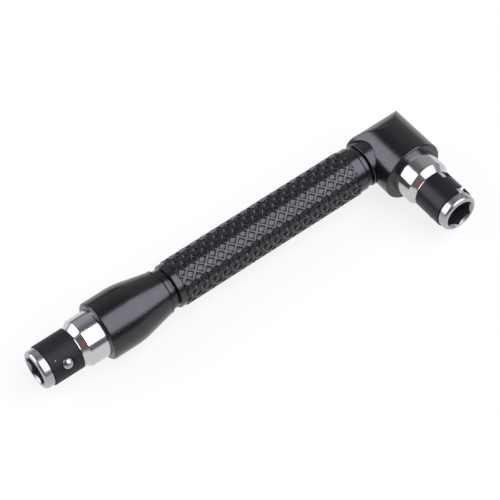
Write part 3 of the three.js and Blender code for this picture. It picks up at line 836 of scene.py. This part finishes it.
def makeDiamond(values, across, along):
    # one flat diamond with its pocket, drawn round the origin
    cell = bmesh.new()
    turns = [math.radians(90 * quarter + turn) for quarter in range(4) for turn in values["ringTurns"]]
    outline = bmesh.ops.create_circle(cell, cap_ends=True, segments=len(turns), radius=across)["verts"]

    def ringPoint(turn, size, roundness, depth, blunt):
        c, s = math.cos(turn), math.sin(turn)
        reach = size / (abs(c) ** roundness + abs(s) ** roundness) ** (1 / roundness)
        if abs(s) < values["tipSpan"]:
            reach *= blunt
        return reach * c * across, reach * s * along, depth

    for v, turn in zip(outline, turns):
        v.co = ringPoint(turn, 1.0, 1.0, 0.0, 1.0)
    floor = list(cell.faces)
    for size, roundness, depth, blunt in values["pocketRings"]:
        bmesh.ops.inset_individual(cell, faces=floor, thickness=values["inset"] * mm, depth=0.0)
        for v in floor[0].verts:
            v.co = ringPoint(math.atan2(v.co.y / along, v.co.x / across), size, roundness, depth * mm, blunt)
    return cell


def buildGrip():
    g = grip
    knurlStart = g["start"] + g["frontBand"]
    rows = math.ceil((g["length"] + g["lead"]) / g["pitch"])
    arc = 2 * math.pi * g["rib"] / g["around"] * mm
    step = g["pitch"] / 2 * mm
    lattice = makeDiamond(g, arc / 2, step)

    def repeat(count, shift):
        first = lattice.verts[:] + lattice.edges[:] + lattice.faces[:]
        for i in range(1, count):
            copy = bmesh.ops.duplicate(lattice, geom=first)["geom"]
            bmesh.ops.translate(lattice, verts=[v for v in copy if isinstance(v, bmesh.types.BMVert)],
                                vec=Vector(shift) * i)

    # a second diamond half a step on, then rows along the grip, then copies round it
    repeat(2, (arc / 2, step, 0))
    repeat(rows + 1, (0, 2 * step, 0))
    repeat(g["around"], (arc, 0, 0))
    bmesh.ops.translate(lattice, verts=lattice.verts, vec=(arc / 2, -g["lead"] * mm, 0))
    for height, away in ((0.0, -1), (g["length"] * mm, 1)):
        bmesh.ops.bisect_plane(lattice, geom=lattice.verts[:] + lattice.edges[:] + lattice.faces[:], dist=1e-8,
                               plane_co=(0, height, 0), plane_no=(0, away, 0), clear_outer=True, clear_inner=False)
    # roll the flat sheet round the handle
    for v in lattice.verts:
        angle = v.co.x / (g["rib"] * mm) + math.radians(g["turn"]) - math.pi / 2
        radius = g["rib"] * mm + v.co.z
        v.co = (radius * math.cos(angle), radius * math.sin(angle), v.co.y + knurlStart * mm)
    bmesh.ops.remove_doubles(lattice, verts=lattice.verts, dist=2e-6)

    def closeEnd(radius, end, inward):
        edge, cut = g["endEdge"], g["endEdge"] * g["endCut"]
        return [(radius, end + inward * (edge + hold)), (radius, end + inward * edge),
                (radius - cut, end + inward * cut), (radius - edge, end), (0, end)]

    # plain bands grow out of the two open ends and close on the axis
    band, rim = g["band"], g["band"] - g["rimStep"]
    rimStart = g["end"] - g["rimLength"]
    lineStart = rimStart - g["lineWidth"]
    lineFloor = rim - g["lineDepth"]
    knurlEnd = knurlStart + g["length"]
    frontWay = [*((band - depth, knurlStart - ahead) for depth, ahead in g["border"]), *closeEnd(band, g["start"], 1)]
    rearWay = [(band, knurlEnd + g["rearRamp"]), (band, knurlEnd + g["rearRamp"] + hold),
               (band, lineStart - 2 * hold), (band, lineStart - hold), (band - g["lineRound"], lineStart),
               (lineFloor, lineStart), (lineFloor, rimStart), (rim - g["lineRound"], rimStart),
               (rim, rimStart + hold), (rim, rimStart + 2 * hold), *closeEnd(rim, g["end"], -1)]
    for way, height in ((frontWay, knurlStart), (rearWay, knurlEnd)):
        loop = [edge for edge in lattice.edges
                if edge.is_boundary and all(abs(v.co.z - height * mm) < 1e-6 for v in edge.verts)]
        for radius, station in way:
            grown = bmesh.ops.extrude_edge_only(lattice, edges=loop)
            for v in [item for item in grown["geom"] if isinstance(item, bmesh.types.BMVert)]:
                around = math.atan2(v.co.y, v.co.x)
                v.co = (radius * mm * math.cos(around), radius * mm * math.sin(around), station * mm)
            loop = [item for item in grown["geom"] if isinstance(item, bmesh.types.BMEdge)]
    bmesh.ops.remove_doubles(lattice, verts=lattice.verts, dist=1e-6)
    bmesh.ops.recalc_face_normals(lattice, faces=lattice.faces)
    piece = makeObject(lattice, "knurledGrip")
    carve(piece, roundBar(g["bore"], g["start"] - past, g["start"] + g["boreDepth"]))
    carve(piece, roundBar(g["bore"], g["end"] - g["boreDepth"], g["end"] + past))
    carve(piece, hexBar(g["rodFlats"], g["start"], g["end"]))
    movePiece(piece, placeAlong(straightMouth, alongHandle, towardsFront))
    finishPiece(piece, blackGrip, "knurled_grip", "driver", smoothAngle=40)
    print("grip built:", len(piece.data.polygons), "faces")


buildGrip()


# elbow head with its neck

elbow = {
    "socketShown": 16.4, "front": 9.25, "radius": 7.715, "offset": -0.2, "backRadius": 7.965, "backShift": 1.92,
    "faceRound": 0.42, "barrelShort": 2.0, "creaseHold": 0.35, "crease": 0.14, "seatRadius": 5.83, "seatDepth": 1.7,
    "seatChamfer": 0.03, "shankFlats": 8.2, "shankEnd": 8.7, "neckStart": 90.78, "neckRadius": 5.4235, "neckRound": 0.2,
    "neckGap": 0.15, "neckGapShort": 0.6, "groove": 4.4235, "grooveOver": 0.1, "gripEnd": 90.42, "spigot": 3.9135,
    "spigotLength": 10.0, "rodFlats": 4.7, "rodEnd": 93.961, "pinRadius": 0.85, "pinOver": 0.05, "pinSteps": 24,
    "steps": 144,
    # sizes of the rings of points that close the mitred back
    "backRings": (0.955, 0.88, 0.75, 0.6, 0.45, 0.3, 0.15, 0.0),
}


def buildElbow():
    e = elbow
    head = turnProfile([
        (0, 0), *roundCorner(e["radius"] - e["faceRound"], e["faceRound"], e["faceRound"], -90, 0),
        (e["radius"], e["faceRound"] + hold), (e["radius"], e["front"] - e["barrelShort"]),
    ], e["steps"])

    def backStation(height):
        return (e["front"] - e["backShift"] + math.sqrt(e["backRadius"] ** 2 - height ** 2)) * mm

    rim = [edge for edge in head.edges if edge.is_boundary]
    crease = []
    # the barrel goes on to the mitre, and the mitred back closes towards the middle
    for share, short in ((1.0, e["creaseHold"]), (1.0, 0.0), *((ring, 0.0) for ring in e["backRings"])):
        grown = bmesh.ops.extrude_edge_only(head, edges=rim)
        rim = [item for item in grown["geom"] if isinstance(item, bmesh.types.BMEdge)]
        for v in [item for item in grown["geom"] if isinstance(item, bmesh.types.BMVert)]:
            around = math.atan2(v.co.y, v.co.x)
            x, y = e["radius"] * share * math.cos(around), e["radius"] * share * math.sin(around)
            v.co = (x * mm, y * mm, backStation(y) - short * mm)
        if share == 1.0 and short == 0.0:
            crease = rim
    bmesh.ops.bevel(head, geom=crease, offset=e["crease"] * mm, offset_type="OFFSET", affect="EDGES", segments=4,
                    profile=0.5, material=-1, clamp_overlap=True)
    bmesh.ops.remove_doubles(head, verts=head.verts, dist=1e-6)
    bmesh.ops.recalc_face_normals(head, faces=head.faces)
    faceCentre = angledMouth + alongHead * e["socketShown"] * mm
    headCentre = faceCentre + alongHandle * e["offset"] * mm
    piece = makeObject(head, "elbowHead", placeAlong(headCentre, alongHead, alongHandle))

    toHandle = placeAlong(straightMouth, alongHandle, towardsFront)
    neckEnd = (headCentre.x - straightMouth.x) / mm - e["radius"] / 2
    # a hairline gap shows where the neck goes into the head
    gap = roundBar(e["neckRadius"] + e["neckGap"], e["neckStart"], neckEnd - e["neckGapShort"], e["steps"])
    carve(piece, gap, place=toHandle)
    spigotStart = e["gripEnd"] - e["spigotLength"]
    grooveStart = e["gripEnd"] + e["grooveOver"]
    roundEnd = e["neckStart"] + e["neckRound"]
    neck = turnProfile([
        (0, spigotStart), (e["spigot"], spigotStart), (e["spigot"], grooveStart), (e["groove"], grooveStart),
        (e["groove"], e["neckStart"]),
        *roundCorner(e["neckRadius"] - e["neckRound"], roundEnd, e["neckRound"], -90, 0, 5),
        (e["neckRadius"], roundEnd + hold), (e["neckRadius"], neckEnd), (0, neckEnd),
    ], e["steps"])
    carve(piece, neck, "UNION", toHandle)
    toSocket = placeAlong(faceCentre, alongHead, ballWay["angled_ball"])
    seat = turnProfile([
        (0, -past), (e["seatRadius"] + e["seatChamfer"] + past, -past), (e["seatRadius"], e["seatChamfer"]),
        (e["seatRadius"], e["seatDepth"]), (0, e["seatDepth"]),
    ], e["steps"])
    carve(piece, seat, place=toSocket)
    carve(piece, hexBar(e["shankFlats"], e["seatDepth"] - lap, e["shankEnd"]), place=toSocket)
    carve(piece, hexBar(e["rodFlats"], spigotStart - past, e["rodEnd"]), place=toHandle)
    pinReach = e["spigot"] + e["pinOver"]
    pinPlace = straightMouth + alongHandle * (e["gripEnd"] - e["spigotLength"] / 2) * mm
    carve(piece, roundBar(e["pinRadius"], -pinReach, pinReach, e["pinSteps"]), place=Matrix.Translation(pinPlace))
    finishPiece(piece, blackGloss, "elbow_head", "driver", smoothAngle=28)
    print("elbow built:", len(piece.data.polygons), "faces")


buildElbow()


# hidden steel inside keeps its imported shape

for node in ("core_rod", "rod_pin", "ferrule_screw"):
    inner = frame["nodes"][node]
    inner.data.materials.clear()
    inner.data.materials.append(barSteel)
print("inner steel dressed")
